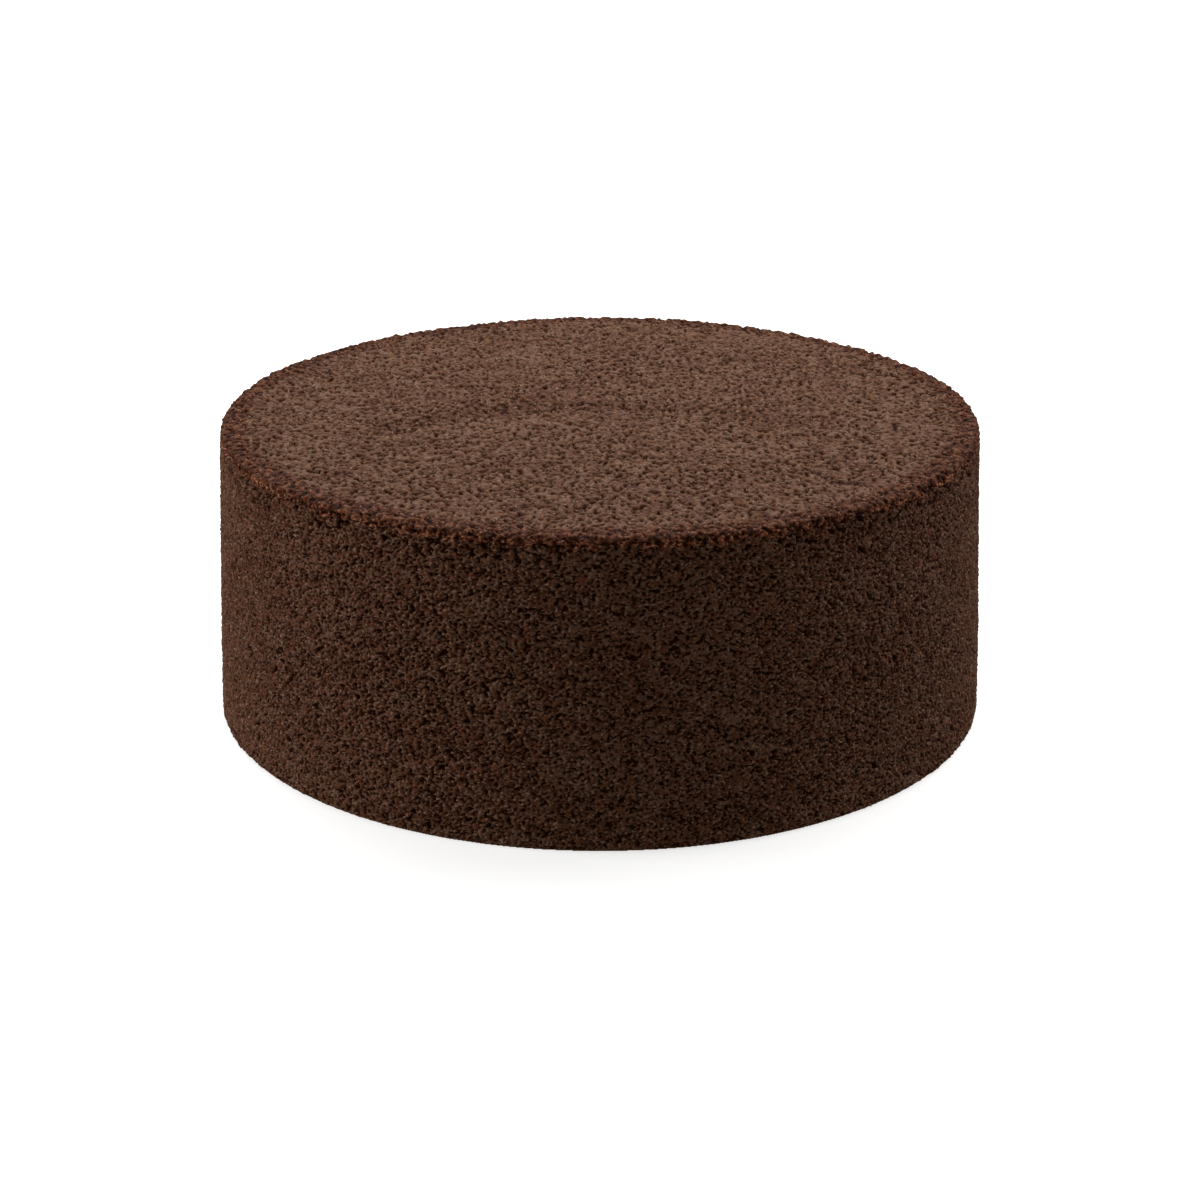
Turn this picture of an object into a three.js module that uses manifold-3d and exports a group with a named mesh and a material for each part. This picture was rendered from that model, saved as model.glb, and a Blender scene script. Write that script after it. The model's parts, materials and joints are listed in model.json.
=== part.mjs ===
// A whole chocolate mud cake: a low round cake with a nearly flat top, a soft rim, sides that
// narrow a little towards the top and a foot that turns in where it rests. It is coated all over
// in fine chocolate crumbs. The coat is relief in the surface, and the crumbs that are large
// enough to show from a step away are fused to it.
// Millimetres, +Z up, with the origin at the centre of the base.

import * as THREE from 'three';
import { mergeVertices } from 'three/addons/utils/BufferGeometryUtils.js';
import Module from 'manifold-3d';

const wasm = await Module();
wasm.setup();

// Driving dimensions.
const baseRadius = 109.4; // of the coat, just above the foot
const topRadius = 106.2; // of the coat, just below the rim
const height = 83.8; // from the base to the top, at the rim
const footRound = 4.0; // how far the bottom edge curls in and up
const rimRound = 3.5; // how far the top edge is rounded

// The top: it sinks towards the middle, with soft rings.
const dishDepth = 0.5;
const ringDepth = 0.25;
const ringPitch = 34;
const ringsAcross = topRadius / ringPitch;

// How uneven the coat is: slow swelling round the cake, and the rough crumb from point to point.
const swellDepth = 0.35;
const reliefDepth = 0.4;

// Facets: the side of one, and the fewest rows of them along any stretch of the outline.
const facetSize = 6.2;
const rowSpacing = facetSize * Math.sin(Math.PI / 3);
const fewestRows = 3;

const crustColor = 0x50352a;

// The outline of half a slice, as x = radius and y = height, in four stretches from the edge of
// the flat base to the middle of the top.
const foot = new THREE.QuadraticBezierCurve(
  new THREE.Vector2(baseRadius - footRound, 0),
  new THREE.Vector2(baseRadius, 0),
  new THREE.Vector2(baseRadius, footRound),
);
const rim = new THREE.QuadraticBezierCurve(
  new THREE.Vector2(topRadius, height - rimRound),
  new THREE.Vector2(topRadius, height),
  new THREE.Vector2(topRadius - rimRound, height),
);
const side = new THREE.LineCurve(foot.v2, rim.v0);
const top = new THREE.SplineCurve(topPoints());
const outline = [foot, side, rim, top];

// The fused crumbs: where they lie, how many there are and how large they are. They stay within
// a share of their stretch, from its start, 0, to its end, 1.
const crumbZones = [
  { stretch: foot, from: 0.45, to: 0.95, count: 12, size: 2.1 },
  { stretch: side, from: 0.06, to: 0.96, count: 22, size: 2.1 },
  { stretch: rim, from: 0.1, to: 0.9, count: 62, size: 2.5 },
  { stretch: top, from: 0.02, to: 0.94, count: 16, size: 2.1 },
];
const crumbSink = 0.15; // how deep the middle of a crumb sits, as a share of its size
const crumbClearance = 0.2; // the least height of a crumb above the flat base

// Random numbers from 0 to 1 that come out the same in every run.
function seededRandom(seed) {
  let state = seed;
  return () => {
    state = (state + 0x6d2b79f5) | 0;
    let mixed = Math.imul(state ^ (state >>> 15), 1 | state);
    mixed = (mixed + Math.imul(mixed ^ (mixed >>> 7), 61 | mixed)) ^ mixed;
    return ((mixed ^ (mixed >>> 14)) >>> 0) / 4294967296;
  };
}

const random = seededRandom(11);

function randomBetween(low, high) {
  return low + (high - low) * random();
}

// The top in section, from the rim in to the axis: four points for each ring.
function topPoints() {
  const points = [];
  const count = Math.ceil(4 * ringsAcross);
  for (let index = 0; index <= count; index++) {
    const inward = index / count;
    const ring = Math.sin(2 * Math.PI * ringsAcross * inward) * inward;
    const level = height - dishDepth * inward * inward + ringDepth * ring;
    points.push(new THREE.Vector2((topRadius - rimRound) * (1 - inward), level));
  }
  return points;
}

// How far the surface swells outwards at an angle round the cake and a height on it.
function swell(angle, level) {
  const wide = Math.cos(2 * angle + 0.9 + level / 60);
  const middle = Math.cos(3 * angle - 1.7 - level / 45);
  const narrow = Math.cos(7 * angle + 2.1 + level / 20);
  return swellDepth * (0.5 * wide + 0.3 * middle + 0.2 * narrow);
}

// The way the surface faces on a stretch of the outline, turned to an angle round the cake.
function facingAt(stretch, share, angle) {
  const along = stretch.getTangent(share);
  return new THREE.Vector3(along.y * Math.cos(angle), along.y * Math.sin(angle), -along.x);
}

// A point of the surface there, swollen and moved out by a distance. The base stays flat.
function pointAt(stretch, share, angle, outward) {
  const { x: radius, y: level } = stretch.getPoint(share);
  const point = new THREE.Vector3(radius * Math.cos(angle), radius * Math.sin(angle), level);
  const lift = THREE.MathUtils.smoothstep(level, 0, footRound);
  return point.addScaledVector(
    facingAt(stretch, share, angle),
    lift * (swell(angle, level) + outward),
  );
}

// A ring of points round the cake, evenly spaced, with every other ring turned by half a step.
function ringOfPoints(stretch, share, isTurned) {
  const radius = stretch.getPoint(share).x;
  const count = Math.max(1, Math.round((2 * Math.PI * radius) / facetSize));
  const points = [];
  for (let index = 0; index < count; index++) {
    const angle = (2 * Math.PI * (index + (isTurned ? 0.5 : 0))) / count;
    points.push(pointAt(stretch, share, angle, randomBetween(-reliefDepth, reliefDepth)));
  }
  return points;
}

// The body's rings, from the middle of the base, round the outline, to the middle of the top.
function bodyRings() {
  const rings = [[new THREE.Vector3(0, 0, 0)]];
  rings.push(ringOfPoints(foot, 0, false));
  for (const stretch of outline) {
    const rows = Math.max(fewestRows, Math.round(stretch.getLength() / rowSpacing));
    for (let row = 1; row <= rows; row++) {
      rings.push(ringOfPoints(stretch, row / rows, rings.length % 2 === 0));
    }
  }
  return rings;
}

// The triangles between two neighbouring rings, given as point numbers in order round the cake.
// The ring whose next point comes first is stepped along. A ring of one point is never stepped.
function stitch(lower, upper) {
  const triangles = [];
  const lowerSteps = lower.length > 1 ? lower.length : 0;
  const upperSteps = upper.length > 1 ? upper.length : 0;
  let low = 0;
  let up = 0;
  while (low < lowerSteps || up < upperSteps) {
    const lowerIsNext = (low + 1) / lowerSteps <= (up + 1) / upperSteps;
    const here = [lower[low % lower.length], upper[up % upper.length]];
    if (up === upperSteps || (low < lowerSteps && lowerIsNext)) {
      low++;
      triangles.push(here[0], lower[low % lower.length], here[1]);
    } else {
      up++;
      triangles.push(here[0], upper[up % upper.length], here[1]);
    }
  }
  return triangles;
}

// The body without its fused crumbs.
function bodyGeometry() {
  const points = [];
  const numbered = bodyRings().map((ring) => ring.map((point) => points.push(point) - 1));
  const triangles = [];
  for (let index = 1; index < numbered.length; index++) {
    triangles.push(...stitch(numbered[index - 1], numbered[index]));
  }
  return new THREE.BufferGeometry().setFromPoints(points).setIndex(triangles);
}

// One crumb at the origin: an irregular twenty-sided lump, flattened a little along Z.
function crumbGeometry(size) {
  const lump = new THREE.IcosahedronGeometry(size / 2, 0);
  lump.deleteAttribute('normal');
  lump.deleteAttribute('uv');
  const geometry = mergeVertices(lump, 0.001);
  const position = geometry.getAttribute('position');
  const corner = new THREE.Vector3();
  for (let index = 0; index < position.count; index++) {
    corner.fromBufferAttribute(position, index).multiplyScalar(randomBetween(0.82, 1.18));
    position.setXYZ(index, corner.x, corner.y, corner.z);
  }
  geometry.rotateX(randomBetween(0, Math.PI));
  geometry.rotateY(randomBetween(0, Math.PI));
  geometry.scale(randomBetween(0.8, 1.1), randomBetween(0.9, 1.3), randomBetween(0.7, 0.9));
  geometry.rotateZ(randomBetween(0, 2 * Math.PI));
  return geometry;
}

// The crumbs of a zone. Each is a golden-angle turn on from the one before, which spreads them
// evenly, and sits with more than half of itself in the coat. On the top, equal shares of the
// crumbs get equal areas. None reaches down to the base, so the cake stands flat.
function crumbsOf(zone) {
  const goldenAngle = Math.PI * (3 - Math.sqrt(5));
  const upright = new THREE.Vector3(0, 0, 1);
  const crumbs = [];
  for (let index = 0; index < zone.count; index++) {
    const evenly = (index + randomBetween(0.1, 0.9)) / zone.count;
    const share = zone.stretch === top ? 1 - Math.sqrt(1 - evenly) : evenly;
    const place = THREE.MathUtils.lerp(zone.from, zone.to, share);
    const angle = index * goldenAngle;
    const size = zone.size * randomBetween(0.8, 1.2);
    const crumb = crumbGeometry(size);
    const turn = new THREE.Quaternion();
    turn.setFromUnitVectors(upright, facingAt(zone.stretch, place, angle));
    crumb.applyQuaternion(turn);
    const { x, y, z } = pointAt(zone.stretch, place, angle, -crumbSink * size);
    crumb.translate(x, y, z);
    crumb.computeBoundingBox();
    crumb.translate(0, 0, Math.max(0, crumbClearance - crumb.boundingBox.min.z));
    crumbs.push(crumb);
  }
  return crumbs;
}

function toSolid(geometry) {
  return new wasm.Manifold(
    new wasm.Mesh({
      numProp: 3,
      vertProperties: geometry.getAttribute('position').array,
      triVerts: new Uint32Array(geometry.index.array),
    }),
  );
}

function toGeometry(solid) {
  const mesh = solid.getMesh();
  const geometry = new THREE.BufferGeometry();
  geometry.setAttribute('position', new THREE.BufferAttribute(mesh.vertProperties, 3));
  geometry.setIndex(new THREE.BufferAttribute(mesh.triVerts, 1));
  return geometry;
}

// The body and its crumbs as one solid, set so that the middle of its base is the origin.
function cakeGeometry() {
  let cake = toSolid(bodyGeometry());
  for (const zone of crumbZones) {
    for (const crumb of crumbsOf(zone)) cake = cake.add(toSolid(crumb));
  }
  const geometry = toGeometry(cake).toNonIndexed();
  geometry.computeBoundingBox();
  const middle = geometry.boundingBox.getCenter(new THREE.Vector3());
  geometry.translate(-middle.x, -middle.y, 0);
  geometry.computeVertexNormals();
  return geometry;
}

const crust = new THREE.MeshStandardMaterial({
  color: crustColor,
  roughness: 0.9,
  metalness: 0.0,
});

const cake = new THREE.Mesh(cakeGeometry(), crust);
cake.name = 'mud_cake';

const mudCake = new THREE.Group();
mudCake.add(cake);

export default mudCake;
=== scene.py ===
import json
import math

import bpy
import numpy as np
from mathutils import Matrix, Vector

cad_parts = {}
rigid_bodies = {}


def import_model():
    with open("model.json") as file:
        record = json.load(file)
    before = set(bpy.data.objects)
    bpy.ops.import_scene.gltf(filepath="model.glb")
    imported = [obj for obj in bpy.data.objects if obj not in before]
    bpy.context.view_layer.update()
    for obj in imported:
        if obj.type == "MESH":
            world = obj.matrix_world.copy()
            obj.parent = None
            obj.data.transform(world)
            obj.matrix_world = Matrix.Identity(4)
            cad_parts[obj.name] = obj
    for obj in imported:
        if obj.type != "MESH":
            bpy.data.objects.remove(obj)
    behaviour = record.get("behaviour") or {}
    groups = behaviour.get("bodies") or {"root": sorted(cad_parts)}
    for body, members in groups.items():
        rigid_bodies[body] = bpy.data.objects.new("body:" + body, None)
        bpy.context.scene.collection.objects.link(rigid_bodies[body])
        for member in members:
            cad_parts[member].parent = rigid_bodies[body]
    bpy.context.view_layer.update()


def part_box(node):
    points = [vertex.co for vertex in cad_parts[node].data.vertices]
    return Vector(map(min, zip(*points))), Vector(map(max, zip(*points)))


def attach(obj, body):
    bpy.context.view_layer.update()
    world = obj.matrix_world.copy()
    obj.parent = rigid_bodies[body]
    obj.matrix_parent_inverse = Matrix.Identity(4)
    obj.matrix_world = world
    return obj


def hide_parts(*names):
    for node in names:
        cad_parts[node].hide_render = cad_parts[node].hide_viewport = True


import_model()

# the cake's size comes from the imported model, and its shapes are measured from it
cakeLow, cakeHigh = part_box("mud_cake")
footRadius = (cakeHigh.x - cakeLow.x) / 2
tipHeight = cakeHigh.z
millimetre = 0.001


def pickOnly(piece):
    bpy.ops.object.select_all(action="DESELECT")
    piece.select_set(True)
    bpy.context.view_layer.objects.active = piece


def applyModifiers(piece):
    pickOnly(piece)
    for modifier in list(piece.modifiers):
        bpy.ops.object.modifier_apply(modifier=modifier.name)


# one row of numbers for each point, corner or face of a mesh
def meshNumbers(items, name, width=1, kind=np.float64):
    numbers = np.empty(len(items) * width, dtype=kind)
    items.foreach_get(name, numbers)
    return numbers.reshape(-1, width) if width > 1 else numbers


def countTriangles(piece):
    piece.data.calc_loop_triangles()
    return len(piece.data.loop_triangles)


view = {
    "elevation": 19.78,    # how far the camera is above the cake, in degrees
    "distance": 0.77,
    "lens": 80.35,
    "sensor": 36,
    "cakeMiddle": 0.0421,  # height that the elevation and distance are measured to
    "aimHeight": 0.02765,  # height on the cake's axis that lies in the middle of the frame
}


def makeCamera():
    slope = math.radians(view["elevation"])
    back = view["distance"] * math.cos(slope)
    up = view["cakeMiddle"] + view["distance"] * math.sin(slope)
    down = math.atan2(up - view["aimHeight"], back)
    bpy.ops.object.camera_add(location=(0, -back, up), rotation=(math.pi / 2 - down, 0, 0))
    camera = bpy.context.object
    camera.name = "camera"
    camera.data.lens = view["lens"]
    camera.data.sensor_width = view["sensor"]
    bpy.context.scene.camera = camera


studio = {
    "floorSize": 60.0,
    "floorColour": (0.9, 0.9, 0.89, 1),
    "floorRoughness": 0.9,
    "floorGlow": 0.8,
    "roomColour": (1.0, 0.99, 0.97, 1),
    "roomStrength": 0.166,
    "roomGlow": 0.87,      # how bright the room itself looks behind the floor
}

# each lamp: where it hangs, what it points at, its width and height, its power in watts
lamps = {
    "topSoftbox": {"place": (0.0, 0.62, 0.95), "aim": (0, 0, 0.05), "size": (1.5, 1.1), "power": 12.7},
    "rightStrip": {"place": (1.1, 0.30, 0.42), "aim": (0, 0, 0.04), "size": (0.5, 0.9), "power": 3.9},
    "leftStrip": {"place": (-1.2, 0.0, 0.25), "aim": (0, 0, 0.04), "size": (0.4, 0.5), "power": 4.85},
    "leftFill": {"place": (-1.1, -0.5, 0.4), "aim": (0, 0, 0.04), "size": (0.5, 0.5), "power": 0.74},
}


def makeFloor():
    bpy.ops.mesh.primitive_plane_add(size=studio["floorSize"])
    floor = bpy.context.object
    floor.name = "floor"
    paint = bpy.data.materials.new("paleFloor")
    paint.use_nodes = True
    shader = paint.node_tree.nodes["Principled BSDF"]
    shader.inputs["Base Color"].default_value = studio["floorColour"]
    shader.inputs["Roughness"].default_value = studio["floorRoughness"]
    shader.inputs["Emission Color"].default_value = studio["floorColour"]
    shader.inputs["Emission Strength"].default_value = studio["floorGlow"]
    floor.data.materials.append(paint)
    # the white floor would light up the shaded front of the cake
    floor.visible_diffuse = False
    floor.visible_glossy = False


def hangLamp(name, lamp):
    towards = Vector(lamp["aim"]) - Vector(lamp["place"])
    turn = towards.to_track_quat("-Z", "Y").to_euler()
    bpy.ops.object.light_add(type="AREA", location=lamp["place"], rotation=turn)
    light = bpy.context.object
    light.name = name
    light.data.shape = "RECTANGLE"
    light.data.size, light.data.size_y = lamp["size"]
    light.data.energy = lamp["power"]
    light.visible_camera = False


def makeRoom():
    room = bpy.data.worlds.new("room")
    room.use_nodes = True
    nodes, links = room.node_tree.nodes, room.node_tree.links
    air = nodes["Background"]
    air.inputs["Color"].default_value = studio["roomColour"]
    # as pale as the floor to look at, and dimmer as a light
    ray = nodes.new("ShaderNodeLightPath")
    glow = nodes.new("ShaderNodeMapRange")
    glow.inputs["To Min"].default_value = studio["roomStrength"]
    glow.inputs["To Max"].default_value = studio["roomGlow"]
    links.new(ray.outputs["Is Camera Ray"], glow.inputs["Value"])
    links.new(glow.outputs[0], air.inputs["Strength"])
    bpy.context.scene.world = room
    bpy.context.scene.view_settings.view_transform = "Standard"


makeCamera()
makeFloor()
for name, lamp in lamps.items():
    hangLamp(name, lamp)
makeRoom()
print("camera and studio are up")


# a node tree for the relief, the scattered crumbs or a finish
class Tree:
    def __init__(self, tree):
        self.tree = tree

    # adds a node, where an input is either a number or another node's output
    def add(self, kind, inputs=None, **settings):
        made = self.tree.nodes.new(kind)
        for name, value in settings.items():
            setattr(made, name, value)
        for socket, value in (inputs or {}).items():
            if isinstance(value, bpy.types.NodeSocket):
                self.tree.links.new(value, made.inputs[socket])
            else:
                made.inputs[socket].default_value = value
        return made


def newModifierTree(name):
    group = bpy.data.node_groups.new(name, "GeometryNodeTree")
    group.interface.new_socket("Geometry", in_out="INPUT", socket_type="NodeSocketGeometry")
    group.interface.new_socket("Geometry", in_out="OUTPUT", socket_type="NodeSocketGeometry")
    return Tree(group)


def runTree(piece, tree, result):
    tree.add("NodeGroupOutput", {0: result})
    modifier = piece.modifiers.new(tree.tree.name, "NODES")
    modifier.node_group = tree.tree
    applyModifiers(piece)


def calculate(tree, operation, *values):
    return tree.add("ShaderNodeMath", dict(enumerate(values)), operation=operation).outputs[0]


def sums(tree, *values):
    total = values[0]
    for value in values[1:]:
        total = calculate(tree, "ADD", total, value)
    return total


def times(tree, first, second):
    return calculate(tree, "MULTIPLY", first, second)


def scaled(tree, vector, amount):
    return tree.add("ShaderNodeVectorMath", {0: vector, "Scale": amount}, operation="SCALE").outputs[0]


def mixed(tree, factor, first, second):
    return tree.add("ShaderNodeMix", {0: factor, 2: first, 3: second}).outputs[0]


def mapped(tree, value, fromLow, fromHigh, toLow=0.0, toHigh=1.0, smooth=False):
    ends = {"Value": value, "From Min": fromLow, "From Max": fromHigh, "To Min": toLow, "To Max": toHigh}
    kind = "SMOOTHSTEP" if smooth else "LINEAR"
    return tree.add("ShaderNodeMapRange", ends, interpolation_type=kind).outputs[0]


def opposite(tree, share):
    return mapped(tree, share, 0.0, 1.0, 1.0, 0.0)


# most of a noise lies in the first range, and nearly all of it in the second
usualNoise = (0.3, 0.7)
wholeNoise = (0.25, 0.75)
middleNoise = 0.5


def noiseOf(tree, place, size, detail=0.0):
    return tree.add("ShaderNodeTexNoise", {"Vector": place, "Scale": 1 / size, "Detail": detail}).outputs[0]


def randomNumber(tree, low, high, seed):
    draw = {2: low, 3: high, "Seed": seed}
    return tree.add("FunctionNodeRandomValue", draw, data_type="FLOAT").outputs[1]


def randomVector(tree, low, high, seed):
    draw = {0: low, 1: high, "Seed": seed}
    return tree.add("FunctionNodeRandomValue", draw, data_type="FLOAT_VECTOR").outputs[0]


# the crust: a fine sponge full of small pores
crustShape = {
    "coatDepth": 0.35 * millimetre,    # from the crust out to the tips of the loose crumbs
    "topStepDown": 0.85 * millimetre,  # the top lies this far under the tallest crumb
    "narrowing": 3.2 * millimetre,     # the radius is this much less at the top
    "rimRound": 1.5 * millimetre,
    "footRound": 2.0 * millimetre,
    "roundSteps": 6,
    "sides": 240,
    "grain": 0.39 * millimetre,        # mesh size
    "relaxing": 0.5,
    "relaxSteps": 8,
    "wedges": 8,                       # the crust is cut up like a cake, and mapLayout fits this many
    "firstCut": 0.13,                  # where, in radians, so that no cut runs along a row of points
    "cutMerge": 1e-7,                  # a larger distance would leave slits along the cuts
}
topLevel = tipHeight - crustShape["topStepDown"]
topRadius = footRadius - crustShape["coatDepth"] - crustShape["narrowing"]

sponge = {
    "waveSize": 50 * millimetre,
    "waves": 0.4 * millimetre,
    "lumpSize": 3.2 * millimetre,
    "lumps": 0.25 * millimetre,
    "ridges": 0.3 * millimetre,
    "turn": (0.7, 0.4, 1.1),           # the noise is turned, so that its grid doesn't show
    "flatBase": 0.2 * millimetre,      # below this height nothing moves
    # pores
    "poreSize": 0.95 * millimetre,     # on the side
    "topPoreSize": 1.2 * millimetre,
    "layering": 1.5,                   # pores on the side are this much wider than tall
    "topStretch": 1.4,
    "poresFrom": 0.44,                 # a higher value makes more and wider pores
    "poresTo": 0.34,
    "fewerSidePores": 0.02,
    "fewerTopPores": 0.05,
    "poresVary": 0.06,                 # how much that differs from patch to patch
    "rimPores": 0.03,                  # wider pores along the rim
    "dipPores": 0.02,                  # and on the steep side of the dip
    "poreDepth": 0.55 * millimetre,
    "topPoreDepth": 0.6 * millimetre,
    "topFrom": 0.3,                    # the upper share of the rim's rounding, where all pores are the top's
    # small round holes
    "sideHoleSpace": 1.4 * millimetre,
    "sideHole": 0.36 * millimetre,
    "topHoleSpace": 1.5 * millimetre,
    "topHole": 0.5 * millimetre,
    "holeSharpness": 0.55,
    "wobble": 0.5 * millimetre,
    "wobblesPerHole": 1.2,
    "holeDepth": 0.7 * millimetre,
    "topHoleDepth": 0.55 * millimetre,
    # a few larger dark gaps on the side
    "gapSize": 2.2 * millimetre,
    "gapDepth": 0.7 * millimetre,
    "gapsFrom": 0.32,
    "gapsTo": 0.24,
    "fewerTopGaps": 0.2,
    "gapsInRim": 0.05,
    "gapsUnderRim": 0.11,
    "underRim": 4.5 * millimetre,      # the band below the rim that has more of them
    # the rim
    "rimOnTop": 8.0 * millimetre,
    "rimOnSide": 3.0 * millimetre,
    "rimFade": 1.2 * millimetre,
    "rimFadeOnTop": 2.4 * millimetre,
    "rimWobble": 3 * millimetre,
    "rimLumpSize": 1.7 * millimetre,
    "rimLumps": 0.4 * millimetre,
    "shallowRim": 0.5,                 # pores in the rim are less deep, by this share
}
# a shallow dip in the top, with its steep side along an arc just behind the middle
dip = {
    "centre": -71 * millimetre,
    "radius": 80 * millimetre,
    "edge": 5 * millimetre,
    "steepSide": 7.5 * millimetre,
    "reach": 45 * millimetre,
    "depth": 0.55 * millimetre,
    "left": -62 * millimetre,
    "right": 52 * millimetre,
    "fade": 15 * millimetre,
}


def lengthOf(tree, first, second):
    squares = sums(tree, times(tree, first, first), times(tree, second, second))
    return calculate(tree, "POWER", squares, 0.5)


# how far a place is lowered by the dip, and how much it belongs to its steep side
def addDip(tree, x, y):
    away = sums(tree, lengthOf(tree, x, sums(tree, y, -dip["centre"])), -dip["radius"])
    inside = mapped(tree, away, dip["edge"], -dip["edge"], smooth=True)
    near = mapped(tree, away, -dip["reach"], -dip["edge"], smooth=True)
    fromLeft = mapped(tree, x, dip["left"], dip["left"] + dip["fade"], smooth=True)
    fromRight = mapped(tree, x, dip["right"], dip["right"] - dip["fade"], smooth=True)
    here = times(tree, fromLeft, fromRight)
    slope = mapped(tree, calculate(tree, "ABSOLUTE", away), dip["steepSide"], 0.0, smooth=True)
    return times(tree, here, times(tree, inside, near)), times(tree, here, slope)


# how much a place belongs to the rim, and to the band below it
def addRim(tree, radius, level, lumps):
    wobble = times(tree, sums(tree, lumps, -middleNoise), sponge["rimWobble"])
    lowEnd = topLevel - sponge["rimOnSide"]
    isHigh = mapped(tree, sums(tree, level, wobble), lowEnd, lowEnd + sponge["rimFade"], smooth=True)
    inEnd = topRadius - sponge["rimOnTop"]
    isOuter = mapped(tree, sums(tree, radius, wobble), inEnd, inEnd + sponge["rimFadeOnTop"], smooth=True)
    bandEnd = lowEnd - sponge["underRim"]
    isNear = mapped(tree, level, bandEnd, bandEnd + sponge["underRim"] / 2, smooth=True)
    return times(tree, isHigh, isOuter), times(tree, isNear, opposite(tree, isHigh))


def stretchedPlace(tree, skin, stretch):
    stretched = tree.add("ShaderNodeVectorMath", {0: skin, 1: stretch}, operation="MULTIPLY").outputs[0]
    turn = {"Vector": stretched, "Rotation": sponge["turn"]}
    return tree.add("ShaderNodeVectorRotate", turn, rotation_type="EULER_XYZ").outputs[0]


# round holes, one in each cell, of which the surface cuts some
def holesOf(tree, place, size, radius):
    often = {"Vector": place, "Scale": sponge["wobblesPerHole"] / size, "Detail": 1.0}
    shift = scaled(tree, tree.add("ShaderNodeTexNoise", often).outputs[1], sponge["wobble"])
    moved = tree.add("ShaderNodeVectorMath", {0: place, 1: shift}, operation="ADD").outputs[0]
    cells = tree.add("ShaderNodeTexVoronoi", {"Vector": moved, "Scale": 1 / size}).outputs[0]
    return mapped(tree, cells, radius / size, sponge["holeSharpness"] * radius / size, smooth=True)


# the same pores are cut into the mesh and coloured dark in the finish, partly as darker crumb and partly as
# painted shade
def addSponge(tree, skin):
    x, y, z = tree.add("ShaderNodeSeparateXYZ", {0: skin}).outputs
    sideAt = stretchedPlace(tree, skin, (1, 1, sponge["layering"]))
    topAt = stretchedPlace(tree, skin, (1, 1 / sponge["topStretch"], 1))
    lumps = noiseOf(tree, sideAt, sponge["lumpSize"])
    topStart = topLevel - crustShape["rimRound"]
    isTop = mapped(tree, z, topStart, topLevel - sponge["topFrom"] * crustShape["rimRound"], smooth=True)
    isRim, isUnder = addRim(tree, lengthOf(tree, x, y), z, lumps)
    lowered, slope = [times(tree, isTop, part) for part in addDip(tree, x, y)]

    side = noiseOf(tree, sideAt, sponge["poreSize"])
    top = noiseOf(tree, topAt, sponge["topPoreSize"])
    fine = mixed(tree, isTop, side, top)
    noise = sums(
        tree,
        fine,
        mapped(tree, isTop, 0.0, 1.0, sponge["fewerSidePores"], sponge["fewerTopPores"]),
        mapped(tree, lumps, *usualNoise, -sponge["poresVary"] / 2, sponge["poresVary"] / 2),
        times(tree, isRim, -sponge["rimPores"]),
        times(tree, slope, -sponge["dipPores"]),
    )
    sideHoles = holesOf(tree, sideAt, sponge["sideHoleSpace"], sponge["sideHole"])
    topHoles = holesOf(tree, topAt, sponge["topHoleSpace"], sponge["topHole"])
    gaps = sums(
        tree,
        noiseOf(tree, sideAt, sponge["gapSize"]),
        times(tree, isTop, sponge["fewerTopGaps"]),
        times(tree, isRim, -sponge["gapsInRim"]),
        times(tree, isUnder, -sponge["gapsUnderRim"]),
    )
    return {
        "lumps": lumps,
        "fine": fine,
        "noise": noise,
        "pores": mapped(tree, noise, sponge["poresFrom"], sponge["poresTo"], smooth=True),
        "holes": mixed(tree, isTop, sideHoles, topHoles),
        "gaps": mapped(tree, gaps, sponge["gapsFrom"], sponge["gapsTo"], smooth=True),
        "rim": isRim,
        "rimLumps": noiseOf(tree, sideAt, sponge["rimLumpSize"]),
        "top": isTop,
        "level": z,
        "lowered": lowered,
        "slope": slope,
        "sideAt": sideAt,
        "topAt": topAt,
    }


def selectNothing(piece, kind):
    pickOnly(piece)
    bpy.ops.object.mode_set(mode="EDIT")
    bpy.ops.mesh.select_mode(type=kind)
    bpy.ops.mesh.select_all(action="DESELECT")
    bpy.ops.object.mode_set(mode="OBJECT")


def roundEdge(piece, height, amount):
    selectNothing(piece, "EDGE")
    mesh = piece.data
    sameHeight = 0.01 * millimetre
    for edge in mesh.edges:
        ends = [mesh.vertices[i].co for i in edge.vertices]
        edge.select = all(abs(end.z - height) < sameHeight for end in ends)
    bpy.ops.object.mode_set(mode="EDIT")
    bpy.ops.mesh.bevel(offset=amount, segments=crustShape["roundSteps"], affect="EDGES")
    bpy.ops.object.mode_set(mode="OBJECT")


# the remeshed base becomes one flat face
def flattenBase(crust):
    mesh = crust.data
    points = meshNumbers(mesh.vertices, "co", 3)
    isLow = points[:, 2] < 0.5 * crustShape["grain"]
    points[isLow, 2] = 0
    mesh.vertices.foreach_set("co", points.ravel())
    corners = meshNumbers(mesh.loops, "vertex_index", kind=np.int32)
    isBase = isLow[corners].reshape(-1, 4).all(axis=1)
    selectNothing(crust, "FACE")
    mesh.polygons.foreach_set("select", isBase)
    bpy.ops.object.mode_set(mode="EDIT")
    bpy.ops.mesh.delete(type="FACE")
    bpy.ops.mesh.select_mode(type="EDGE")
    bpy.ops.mesh.select_non_manifold(extend=False)
    bpy.ops.mesh.edge_face_add()
    bpy.ops.mesh.mark_sharp()
    bpy.ops.object.mode_set(mode="OBJECT")


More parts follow.
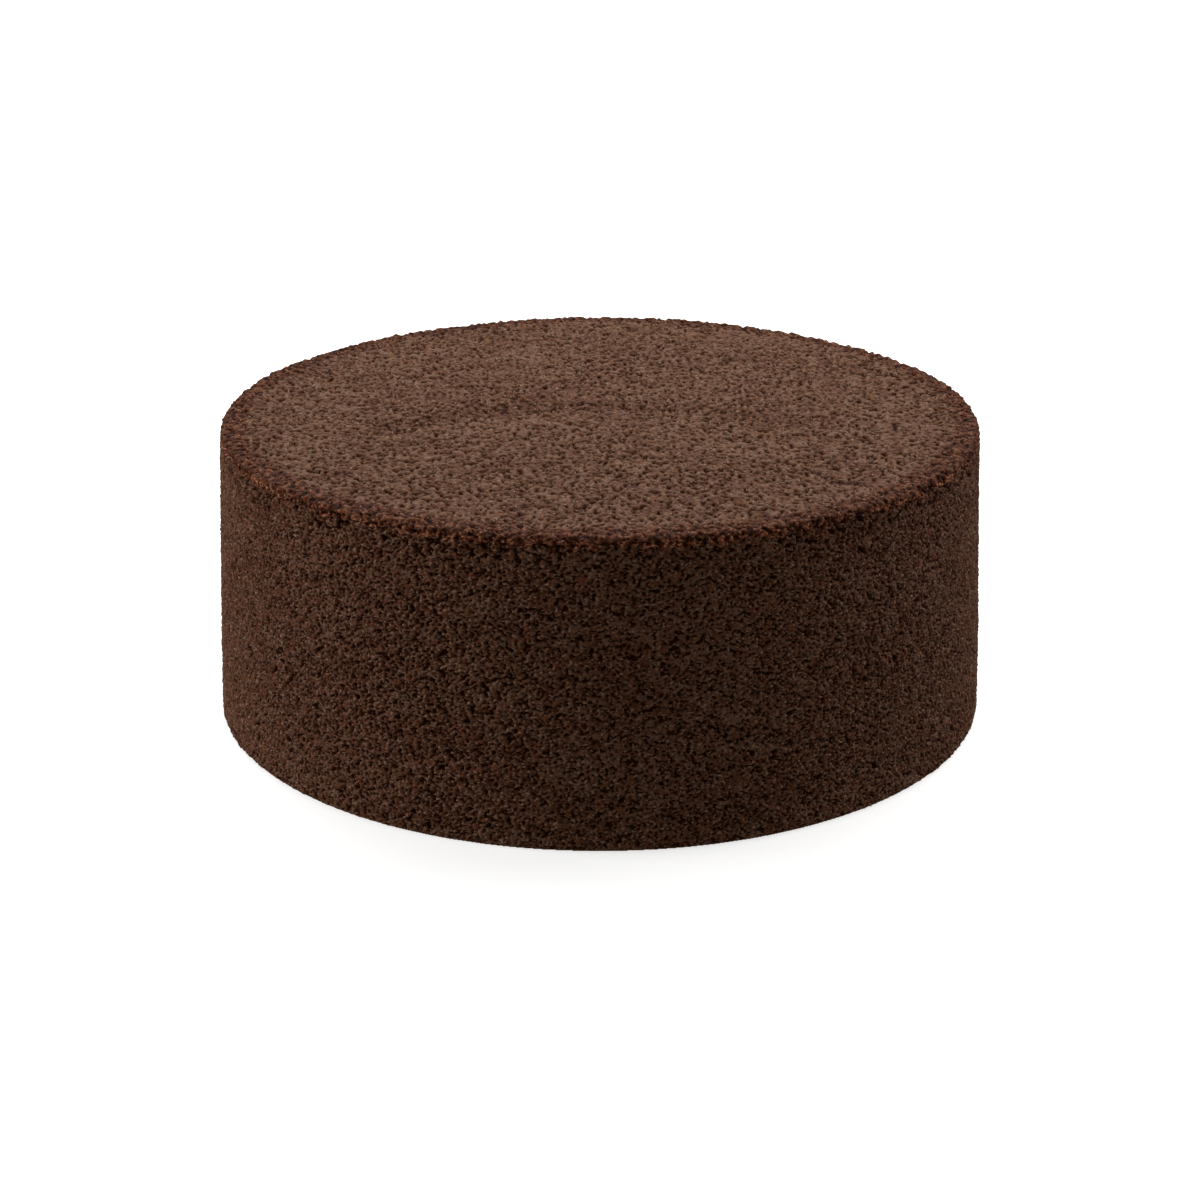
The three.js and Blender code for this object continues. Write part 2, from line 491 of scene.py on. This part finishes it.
def makeCrust():
    radius = footRadius - crustShape["coatDepth"]
    middle = (0, 0, topLevel / 2)
    sides = crustShape["sides"]
    bpy.ops.mesh.primitive_cylinder_add(vertices=sides, radius=radius, depth=topLevel, location=middle)
    crust = bpy.context.object
    crust.name = "crust"
    bpy.ops.object.transform_apply(location=True, rotation=True, scale=True)

    # narrow the top
    selectNothing(crust, "VERT")
    isUpper = meshNumbers(crust.data.vertices, "co", 3)[:, 2] > topLevel / 2
    crust.data.vertices.foreach_set("select", isUpper)
    bpy.ops.object.mode_set(mode="EDIT")
    shrink = topRadius / radius
    bpy.ops.transform.resize(value=(shrink, shrink, 1))
    bpy.ops.object.mode_set(mode="OBJECT")

    roundEdge(crust, topLevel, crustShape["rimRound"])
    roundEdge(crust, 0, crustShape["footRound"])

    remesh = crust.modifiers.new("evenMesh", "REMESH")
    remesh.mode = "VOXEL"
    remesh.voxel_size = crustShape["grain"]
    relax = crust.modifiers.new("relax", "SMOOTH")
    relax.factor = crustShape["relaxing"]
    relax.iterations = crustShape["relaxSteps"]
    applyModifiers(crust)
    flattenBase(crust)
    return crust


def roughenCrust(crust):
    tree = newModifierTree("relief")
    start = tree.add("NodeGroupInput").outputs[0]
    skin = tree.add("GeometryNodeInputPosition").outputs[0]
    facing = tree.add("GeometryNodeInputNormal").outputs[0]
    fields = addSponge(tree, skin)
    waves = noiseOf(tree, skin, sponge["waveSize"])
    shallow = mapped(tree, fields["rim"], 0.0, 1.0, 1.0, 1.0 - sponge["shallowRim"])

    def swelling(noise, span, amount):
        return mapped(tree, noise, *span, -amount / 2, amount / 2)

    def depth(side, top):
        return times(tree, shallow, mapped(tree, fields["top"], 0.0, 1.0, -sponge[side], -sponge[top]))

    height = sums(
        tree,
        swelling(waves, wholeNoise, sponge["waves"]),
        swelling(fields["lumps"], wholeNoise, sponge["lumps"]),
        mapped(tree, fields["fine"], sponge["poresFrom"], wholeNoise[1], 0.0, sponge["ridges"]),
        times(tree, fields["pores"], depth("poreDepth", "topPoreDepth")),
        times(tree, fields["holes"], depth("holeDepth", "topHoleDepth")),
        times(tree, fields["gaps"], -sponge["gapDepth"]),
        times(tree, fields["lowered"], -dip["depth"]),
        times(tree, fields["rim"], swelling(fields["rimLumps"], usualNoise, sponge["rimLumps"])),
    )
    held = mapped(tree, fields["level"], sponge["flatBase"], crustShape["footRound"] / 2, smooth=True)
    move = scaled(tree, facing, times(tree, held, height))
    # the places from before the move are kept, since the finish has to find the same pores
    stored = tree.add(
        "GeometryNodeStoreNamedAttribute",
        {"Geometry": start, "Name": "skin", "Value": skin},
        domain="POINT",
        data_type="FLOAT_VECTOR",
    ).outputs[0]
    moved = tree.add("GeometryNodeSetPosition", {"Geometry": stored, "Offset": move}).outputs[0]
    smooth = tree.add("GeometryNodeSetShadeSmooth", {"Geometry": moved}).outputs[0]
    runTree(crust, tree, smooth)


crust = makeCrust()
print("crust:", countTriangles(crust), "triangles")
roughenCrust(crust)
print("crust is rough")

crumbShapes = {
    "fine": {"kinds": 8, "round": False, "jitter": 0.2},
    "coarse": {"kinds": 6, "round": True, "segments": 8, "rings": 5, "jitter": 0.1},
}


# the shapes are one unit across, and are sized where they are scattered
def makeCrumbShapes(name):
    shape = crumbShapes[name]
    shelf = bpy.data.collections.new(name + "Crumbs")
    bpy.context.scene.collection.children.link(shelf)
    for kind in range(shape["kinds"]):
        if shape["round"]:
            segments, rings = shape["segments"], shape["rings"]
            bpy.ops.mesh.primitive_uv_sphere_add(segments=segments, ring_count=rings, radius=0.5)
        else:
            bpy.ops.mesh.primitive_ico_sphere_add(subdivisions=1, radius=0.5)
        crumb = bpy.context.object
        crumb.name = f"{name}Crumb{kind}"
        bpy.ops.object.mode_set(mode="EDIT")
        bpy.ops.mesh.select_all(action="SELECT")
        bpy.ops.transform.vertex_random(offset=shape["jitter"], uniform=1.0, seed=kind + 1)
        bpy.ops.object.mode_set(mode="OBJECT")
        for home in list(crumb.users_collection):
            home.objects.unlink(crumb)
        shelf.objects.link(crumb)
    return shelf


shelves = {name: makeCrumbShapes(name) for name in crumbShapes}
print("crumb shapes are ready")

# sizes, spacing and tip heights are in millimetres
looseCrumbs = {
    "shelf": "fine",
    "spacing": 2.2,
    "size": (0.6, 1.3),
    "smallBias": 1.7,       # above 1, more small crumbs than large ones
    "long": (1.0, 1.3),
    "wide": (0.8, 1.0),
    "flat": 0.8,
    "flatVary": 0.15,
    "tips": (-0.05, 0.2),   # how high over the crust a crumb's tip stands
    "tilt": 20,
    "tone": (0.0, 1.0),
    "warmth": (0.0, 1.0),
}
rimCrumbs = dict(
    looseCrumbs,
    shelf="coarse",
    spacing=1.5,
    size=(0.7, 1.6),
    tips=(-0.15, 0.05),
    tilt=12,
    tone=(0.0, 0.8),
    warmth=(0.85, 1.0),
)
# where the bands of crumbs begin and end
topBandRadius = 101.5 * millimetre
topBandStart = 60 * millimetre
sideBandStart = 1.2 * millimetre
rimBandRadius = 100.5 * millimetre
rimBandStart = topLevel - 4.5 * millimetre
bands = {
    "topCrumbs": {
        "seed": 1,
        "look": looseCrumbs,
        "where": lambda radius, level: (radius < topBandRadius) & (level > topBandStart),
    },
    "sideCrumbs": {
        "seed": 3,
        "look": looseCrumbs,
        "where": lambda radius, level: (radius >= topBandRadius) & (level > sideBandStart),
    },
    "rimCrumbs": {
        "seed": 6,
        "look": rimCrumbs,
        "where": lambda radius, level: (radius > rimBandRadius) & (level > rimBandStart),
    },
}
# each random draw of a band has a seed of its own
draws = ("spread", "tip", "turn", "size", "stretch", "kind", "tone", "warmth")
poreLimit = 0.3     # no crumb starts where a pore is deeper than this share
mostCrumbs = 5e6    # on a square metre, before they are spaced
mostKinds = 1000    # the draw of a crumb's shape wraps round, so this only has to be large


def scatter(surface, band):
    look = band["look"]
    seeds = {name: 100 * band["seed"] + step for step, name in enumerate(draws)}
    tree = newModifierTree(surface.name)
    start = tree.add("NodeGroupInput").outputs[0]
    skin = tree.add("GeometryNodeInputNamedAttribute", {"Name": "skin"}, data_type="FLOAT_VECTOR").outputs[0]
    fields = addSponge(tree, skin)
    spread = tree.add(
        "GeometryNodeDistributePointsOnFaces",
        {
            "Mesh": start,
            "Distance Min": look["spacing"] * millimetre,
            "Density Max": mostCrumbs,
            "Density Factor": mapped(tree, sums(tree, fields["pores"], fields["holes"]), poreLimit, 0.0),
            "Seed": seeds["spread"],
        },
        distribute_method="POISSON",
    ).outputs
    lowSize, highSize = [size * millimetre for size in look["size"]]
    bent = calculate(tree, "POWER", randomNumber(tree, 0.0, 1.0, seeds["size"]), look["smallBias"])
    size = calculate(tree, "MULTIPLY_ADD", bent, highSize - lowSize, lowSize)
    # the tip's height is chosen, so a larger crumb is sunk deeper
    lowTip, highTip = [tip * millimetre for tip in look["tips"]]
    tip = randomNumber(tree, lowTip, highTip, seeds["tip"])
    lift = calculate(tree, "MULTIPLY_ADD", size, -look["flat"] / 2, tip)
    outward = scaled(tree, spread["Normal"], lift)
    settled = tree.add("GeometryNodeSetPosition", {"Geometry": spread["Points"], "Offset": outward})

    tilt = math.radians(look["tilt"])
    turn = randomVector(tree, (-tilt, -tilt, 0), (tilt, tilt, 2 * math.pi), seeds["turn"])
    asTurn = tree.add("FunctionNodeEulerToRotation", {0: turn}).outputs[0]
    both = {0: spread["Rotation"], 1: asTurn}
    facing = tree.add("FunctionNodeRotateRotation", both, rotation_space="LOCAL").outputs[0]
    flat, vary = look["flat"], look["flatVary"]
    lowest = (look["long"][0], look["wide"][0], flat * (1 - vary))
    highest = (look["long"][1], look["wide"][1], flat * (1 + vary))
    stretch = randomVector(tree, lowest, highest, seeds["stretch"])
    shapes = tree.add(
        "GeometryNodeCollectionInfo",
        {"Collection": shelves[look["shelf"]], "Separate Children": True, "Reset Children": True},
    ).outputs[0]
    draw = {4: 0, 5: mostKinds, "Seed": seeds["kind"]}
    kind = tree.add("FunctionNodeRandomValue", draw, data_type="INT").outputs[2]
    placed = tree.add(
        "GeometryNodeInstanceOnPoints",
        {
            "Points": settled.outputs[0],
            "Instance": shapes,
            "Pick Instance": True,
            "Instance Index": kind,
            "Rotation": facing,
            "Scale": scaled(tree, stretch, size),
        },
    )
    last = placed.outputs[0]
    for name in ("tone", "warmth"):
        value = randomNumber(tree, *look[name], seeds[name])
        last = tree.add(
            "GeometryNodeStoreNamedAttribute",
            {"Geometry": last, "Name": name, "Value": value},
            domain="INSTANCE",
            data_type="FLOAT",
        ).outputs[0]
    runTree(surface, tree, tree.add("GeometryNodeRealizeInstances", {"Geometry": last}).outputs[0])


# a copy of the crust with only the faces that a band's crumbs lie on
def bandSurface(name, where):
    pickOnly(crust)
    bpy.ops.object.duplicate()
    surface = bpy.context.object
    surface.name = name
    centres = meshNumbers(surface.data.polygons, "center", 3)
    keep = where(np.hypot(centres[:, 0], centres[:, 1]), centres[:, 2])
    selectNothing(surface, "FACE")
    surface.data.polygons.foreach_set("select", ~keep)
    bpy.ops.object.mode_set(mode="EDIT")
    bpy.ops.mesh.delete(type="FACE")
    bpy.ops.object.mode_set(mode="OBJECT")
    return surface


crumbPieces = []
for name, band in bands.items():
    piece = bandSurface(name, band["where"])
    scatter(piece, band)
    crumbPieces.append(piece)
    print(name, countTriangles(piece), "triangles")


# halves the piece again and again, from one angle round the cake to another
def cutInWedges(piece, count, start, end):
    if count == 1:
        return [piece]
    middle = (start + end) / 2
    pickOnly(piece)
    bpy.ops.object.duplicate()
    other = bpy.context.object
    for half, side in ((piece, 1), (other, -1)):
        pickOnly(half)
        across = (side * math.sin(middle), -side * math.cos(middle), 0)
        bpy.ops.object.mode_set(mode="EDIT")
        bpy.ops.mesh.select_all(action="SELECT")
        bpy.ops.mesh.bisect(
            plane_co=(0, 0, 0),
            plane_no=across,
            use_fill=True,
            clear_inner=True,
            threshold=crustShape["cutMerge"],
        )
        bpy.ops.mesh.mark_sharp()
        bpy.ops.object.mode_set(mode="OBJECT")
    return cutInWedges(piece, count // 2, start, middle) + cutInWedges(other, count // 2, middle, end)


firstCut = crustShape["firstCut"]
crustPieces = cutInWedges(crust, crustShape["wedges"], firstCut, firstCut + 2 * math.pi)
for number, piece in enumerate(crustPieces, 1):
    piece.name = f"crustWedge{number}"
    print(piece.name, countTriangles(piece), "triangles")

# each face gets a place of its own on a square map, so that colours can be painted or baked
mapLayout = {
    "name": "OFBake",
    "side": 176 * millimetre,   # of the square
    "gap": 3 * millimetre,
    "hidden": 0.5,              # faces that don't show are drawn smaller
    "crumbMargin": 0.1,
}


def storeMap(mesh, places):
    layer = mesh.uv_layers.new(name=mapLayout["name"])
    layer.uv.foreach_set("vector", places.astype(np.float32).ravel())


# the top as seen from above, the side unrolled, and the base and cut faces smaller beside them
def mapWedge(piece, start, end):
    mesh = piece.data
    faceOf = np.repeat(np.arange(len(mesh.polygons)), meshNumbers(mesh.polygons, "loop_total", kind=np.int32))
    corners = meshNumbers(mesh.loops, "vertex_index", kind=np.int32)
    skin = meshNumbers(mesh.attributes["skin"].data, "vector", 3)[corners]
    points = meshNumbers(mesh.vertices, "co", 3)[corners]
    centres = meshNumbers(mesh.polygons, "center", 3)
    facing = meshNumbers(mesh.polygons, "normal", 3)
    skinRadius = np.hypot(skin[:, 0], skin[:, 1])
    perFace = np.bincount(faceOf)
    radius = np.bincount(faceOf, skinRadius) / perFace
    level = np.bincount(faceOf, skin[:, 2]) / perFace

    flat, straight = 1e-6, 0.999   # how near to a plane a face lies, and how well it faces that way
    onTop = level - topLevel > radius - topRadius
    onBase = (facing[:, 2] < -straight) & (centres[:, 2] < flat)
    onCut = []
    for cut in (start, end):
        sideways = np.array((-math.sin(cut), math.cos(cut), 0))
        onCut.append((np.abs(centres @ sideways) < flat) & (np.abs(facing @ sideways) > straight))

    gap, small = mapLayout["gap"], mapLayout["hidden"]
    half = (end - start) / 2
    angle = np.arctan2(skin[:, 1], skin[:, 0]) - (start + half)
    angle = (angle + math.pi) % (2 * math.pi) - math.pi
    wide = topRadius * math.sin(half)
    topLeft = 2 * gap + 2 * half * footRadius
    lower = 3 * gap + topRadius

    unrolled = gap + (angle + half) * footRadius
    side = np.column_stack((unrolled, gap + skin[:, 2] + (skinRadius - topRadius) / 2))
    across, along = skinRadius * np.sin(angle), skinRadius * np.cos(angle)
    top = np.column_stack((topLeft + wide - across, gap + along))
    baseLeft = mapLayout["side"] - gap - small * wide
    base = np.column_stack((baseLeft + small * across, lower + small * along))
    places = np.where(onTop[faceOf, None], top, side)
    places = np.where(onBase[faceOf, None], base, places)
    reach = np.hypot(points[:, 0], points[:, 1])
    for number, isCut in enumerate(onCut):
        left = gap + number * (small * footRadius + gap)
        cut = np.column_stack((left + small * reach, lower + small * points[:, 2]))
        places = np.where(isCut[faceOf, None], cut, places)
    storeMap(mesh, places / mapLayout["side"])


# one small square for each crumb, shared by its faces, since a crumb has one colour all over
def mapCrumbs(piece, facesEach):
    mesh = piece.data
    starts = meshNumbers(mesh.polygons, "loop_start", kind=np.int32)
    totals = meshNumbers(mesh.polygons, "loop_total", kind=np.int32)
    crumb = np.arange(len(starts)) // facesEach
    across = math.ceil(math.sqrt(crumb[-1] + 1))
    cell = np.column_stack((crumb % across, crumb // across))
    faceOf = np.repeat(np.arange(len(starts)), totals)
    corner = np.arange(len(faceOf)) - starts[faceOf]
    low, high = mapLayout["crumbMargin"], 1 - mapLayout["crumbMargin"]
    inCell = np.array(((low, low), (high, low), (high, high), (low, high)))
    storeMap(mesh, (cell[faceOf] + inCell[corner]) / across)


wedgeAngle = 2 * math.pi / crustShape["wedges"]
for number, piece in enumerate(crustPieces):
    mapWedge(piece, firstCut + number * wedgeAngle, firstCut + (number + 1) * wedgeAngle)
for piece, band in zip(crumbPieces, bands.values()):
    shape = shelves[band["look"]["shelf"]].objects[0]
    mapCrumbs(piece, len(shape.data.polygons))
print("maps are made")

for shelf in shelves.values():
    for shape in list(shelf.objects):
        bpy.data.objects.remove(shape)
    bpy.data.collections.remove(shelf)


crumbColours = {
    # pores, holes and gaps: partly the darker crumb inside, partly painted shade in the hollows
    "pore": (0.044, 0.0085, 0.0010, 1),
    "dark": (0.092, 0.033, 0.014, 1),
    "mid": (0.152, 0.064, 0.0330, 1),
    # the lightest brown, also the colour of the painted highlight lines
    "light": (0.240, 0.130, 0.082, 1),
    "red": (0.205, 0.068, 0.029, 1),
    "crumbRed": (0.130, 0.048, 0.021, 1),
    # pale specks that stand for glints: painted highlights
    "pale": (0.45, 0.29, 0.20, 1),
    # painted shade: the side is made a little darker and redder than the top
    "sidePaintedShade": (0.96, 0.88, 0.85, 1),
    "rimTint": (0.88, 0.63, 0.50, 1),
    "edgeRedWithPaintedLight": (1.87, 1.40, 1.16, 1),  # lower down on the rim: redder, and painted lighter where the rounding turns from the light
    "rimShade": (0.36, 0.22, 0.14, 1),  # painted shade in the rim's hollows
    "roughness": 0.6,
    "specular": 0.06,
    # where the browns lie on the scale of tones, and what that scale is made of
    "darkAt": 0.39,
    "midAt": 0.50,
    "lightAt": 0.64,
    # painted shade and light: the browns darken towards the pores and lighten on the ridges
    "poreShadeShare": 0.5,
    "patchShare": 0.5,
    "patchSize": 4.5 * millimetre,
    "patchDetail": 3.0,
    "grainSize": 0.57 * millimetre,
    "sideGrain": 0.3,
    "topGrain": 0.1,
    "cloudSize": 25 * millimetre,
    "clouds": 0.05,
    # painted shade on the steep side of the dip
    "paintedShadeOnDip": 0.09,
    "redSize": 2.2 * millimetre,
    "redFrom": 0.67,
    "redTo": 0.77,
    "moreSideReds": 0.075,
    "strongestRed": 0.8,
    "wispSize": 1.1 * millimetre,       # thin lines of painted highlight along the edges of the crumb
    "topWispSize": 1.4 * millimetre,
    "wispWidth": 0.035,
    "wispPatches": (0.4, 0.6),
    "wispStrength": (0.25, 0.9),
    "poreEdge": (0.41, 0.36),           # the painted dark of a pore, darker crumb with painted shade, ends more sharply than its hollow
    # glints: painted highlights, as pale specks in the colour
    "glintSize": 0.75 * millimetre,
    "glintFrom": 0.71,
    "glintTo": 0.77,
    "moreGlints": 0.07,                 # more painted highlights on the side and along the rim
    "strongestGlint": 0.8,
    "edgeFrom": 0.2,                    # share of the rim's height where its lower colour, redder with painted light, begins
    "edgeTo": 0.6,
    "hollows": (0.41, 0.53),            # from the rim's hollows in painted shade up to its lumps
    # fine bumps in the finish
    "bumpStrength": 0.5,
    "bumpHeight": 1.0 * millimetre,
    "wispBumps": 0.25,
    "grainBumps": 0.4,
    "glintBumps": 0.3,
    # scattered crumbs
    "crumbMidAt": 0.5,
    "crumbRedFrom": 0.8,
}


def newFinish(name):
    material = bpy.data.materials.new(name)
    material.use_nodes = True
    shader = material.node_tree.nodes["Principled BSDF"]
    shader.inputs["Roughness"].default_value = crumbColours["roughness"]
    shader.inputs["Specular IOR Level"].default_value = crumbColours["specular"]
    return material, Tree(material.node_tree), shader


def addRamp(tree, value, *stops):
    ramp = tree.add("ShaderNodeValToRGB", {"Fac": value})
    elements = ramp.color_ramp.elements
    for index, (position, colour) in enumerate(stops):
        element = elements[index] if index < 2 else elements.new(position)
        element.position = position
        element.color = crumbColours[colour]
    return ramp.outputs[0]


def mixColours(tree, factor, first, second, blend="MIX"):
    colours = {"Factor": factor, 6: first, 7: second}
    return tree.add("ShaderNodeMix", colours, data_type="RGBA", blend_type=blend).outputs[2]


def greater(tree, first, second):
    return calculate(tree, "MAXIMUM", first, second)


# thin lines of painted highlight where a noise crosses its middle value
def addPaintedHighlightLines(tree, fields, patches):
    sideLine = noiseOf(tree, fields["sideAt"], crumbColours["wispSize"])
    topLine = noiseOf(tree, fields["topAt"], crumbColours["topWispSize"])
    line = mixed(tree, fields["top"], sideLine, topLine)
    away = calculate(tree, "ABSOLUTE", sums(tree, line, -middleNoise))
    wisps = mapped(tree, away, crumbColours["wispWidth"], 0.0, smooth=True)
    strength = mapped(tree, patches, *crumbColours["wispPatches"], *crumbColours["wispStrength"])
    return wisps, times(tree, wisps, strength)


# the rim is redder, with painted light on its lower edge and painted shade in its hollows
def addRimColourAndPaintedLight(tree, fields):
    onSide = sponge["rimOnSide"]
    edgeStart = topLevel - crumbColours["edgeFrom"] * onSide
    isPaintedLightEdge = mapped(tree, fields["level"], edgeStart, topLevel - crumbColours["edgeTo"] * onSide)
    tint = mixColours(tree, isPaintedLightEdge, crumbColours["rimTint"], crumbColours["edgeRedWithPaintedLight"])
    isHigh = mapped(tree, fields["rimLumps"], *crumbColours["hollows"], smooth=True)
    return mixColours(tree, isHigh, crumbColours["rimShade"], tint)


def makeSpongeFinish(name):
    material, tree, shader = newFinish(name)
    skin = tree.add("ShaderNodeAttribute", attribute_name="skin").outputs["Vector"]
    fields = addSponge(tree, skin)
    place = fields["sideAt"]
    isSide = opposite(tree, fields["top"])
    patches = noiseOf(tree, place, crumbColours["patchSize"], crumbColours["patchDetail"])
    grain = noiseOf(tree, place, crumbColours["grainSize"], 1.0)
    grainDepth = mapped(tree, fields["top"], 0.0, 1.0, crumbColours["sideGrain"], crumbColours["topGrain"])
    clouds = noiseOf(tree, place, crumbColours["cloudSize"])
    halfCloud = crumbColours["clouds"] / 2
    tone = sums(
        tree,
        # painted shade towards the pores, painted light on the ridges
        times(tree, fields["fine"], crumbColours["poreShadeShare"]),
        times(tree, patches, crumbColours["patchShare"]),
        times(tree, sums(tree, grain, -middleNoise), grainDepth),
        mapped(tree, clouds, *usualNoise, -halfCloud, halfCloud),
        # painted shade on the steep side of the dip, where it faces away from the light
        times(tree, fields["slope"], -crumbColours["paintedShadeOnDip"]),
    )
    stops = [(crumbColours[brown + "At"], brown) for brown in ("dark", "mid", "light")]
    colour = addRamp(tree, tone, *stops)

    reds = noiseOf(tree, place, crumbColours["redSize"])
    redder = sums(tree, reds, times(tree, isSide, crumbColours["moreSideReds"]))
    redEnds = (crumbColours["redFrom"], crumbColours["redTo"])
    isRed = mapped(tree, redder, *redEnds, 0.0, crumbColours["strongestRed"])
    colour = mixColours(tree, isRed, colour, crumbColours["red"])

    # painted highlight in thin lines along the crumb's ridges
    wisps, paintedHighlight = addPaintedHighlightLines(tree, fields, patches)
    colour = mixColours(tree, paintedHighlight, colour, crumbColours["light"])

    # painted shade in the pores, holes and gaps, over the darker crumb inside them
    sharpPores = mapped(tree, fields["noise"], *crumbColours["poreEdge"], smooth=True)
    darkCrumbAndPaintedShade = greater(tree, greater(tree, sharpPores, fields["gaps"]), fields["holes"])
    colour = mixColours(tree, darkCrumbAndPaintedShade, colour, crumbColours["pore"])

    # glints are painted highlights: pale specks mixed into the colour
    more = times(tree, sums(tree, fields["rim"], isSide), crumbColours["moreGlints"])
    spots = sums(tree, noiseOf(tree, place, crumbColours["glintSize"]), more)
    glintEnds = (crumbColours["glintFrom"], crumbColours["glintTo"])
    glints = mapped(tree, spots, *glintEnds, 0.0, crumbColours["strongestGlint"])
    colour = mixColours(tree, glints, colour, crumbColours["pale"])

    # painted shade on the side, which is a little darker and redder than the top
    colour = mixColours(tree, isSide, colour, crumbColours["sidePaintedShade"], blend="MULTIPLY")
    # the rim: redder, with painted light low on its rounding and painted shade in its hollows
    colour = mixColours(tree, fields["rim"], colour, addRimColourAndPaintedLight(tree, fields), blend="MULTIPLY")
    tree.tree.links.new(colour, shader.inputs["Base Color"])

    bumps = sums(
        tree,
        fields["fine"],
        times(tree, wisps, crumbColours["wispBumps"]),
        times(tree, grain, crumbColours["grainBumps"]),
        times(tree, glints, crumbColours["glintBumps"]),
    )
    strength, height = crumbColours["bumpStrength"], crumbColours["bumpHeight"]
    bump = tree.add("ShaderNodeBump", {"Height": bumps, "Strength": strength, "Distance": height})
    tree.tree.links.new(bump.outputs[0], shader.inputs["Normal"])
    return material


def makeCrumbFinish(name):
    material, tree, shader = newFinish(name)
    tone = tree.add("ShaderNodeAttribute", attribute_name="tone").outputs["Fac"]
    warmth = tree.add("ShaderNodeAttribute", attribute_name="warmth").outputs["Fac"]
    brown = addRamp(tree, tone, (0.0, "dark"), (crumbColours["crumbMidAt"], "mid"), (1.0, "light"))
    isRed = mapped(tree, warmth, crumbColours["crumbRedFrom"], 1.0)
    colour = mixColours(tree, isRed, brown, crumbColours["crumbRed"])
    tree.tree.links.new(colour, shader.inputs["Base Color"])
    return material


spongeFinish = makeSpongeFinish("chocolateSponge")
crumbFinish = makeCrumbFinish("chocolateCrumb")
for piece in crustPieces + crumbPieces:
    piece.data.materials.clear()
    piece.data.materials.append(spongeFinish if piece in crustPieces else crumbFinish)
    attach(piece, "root")
    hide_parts("mud_cake")
print("finishes are on")
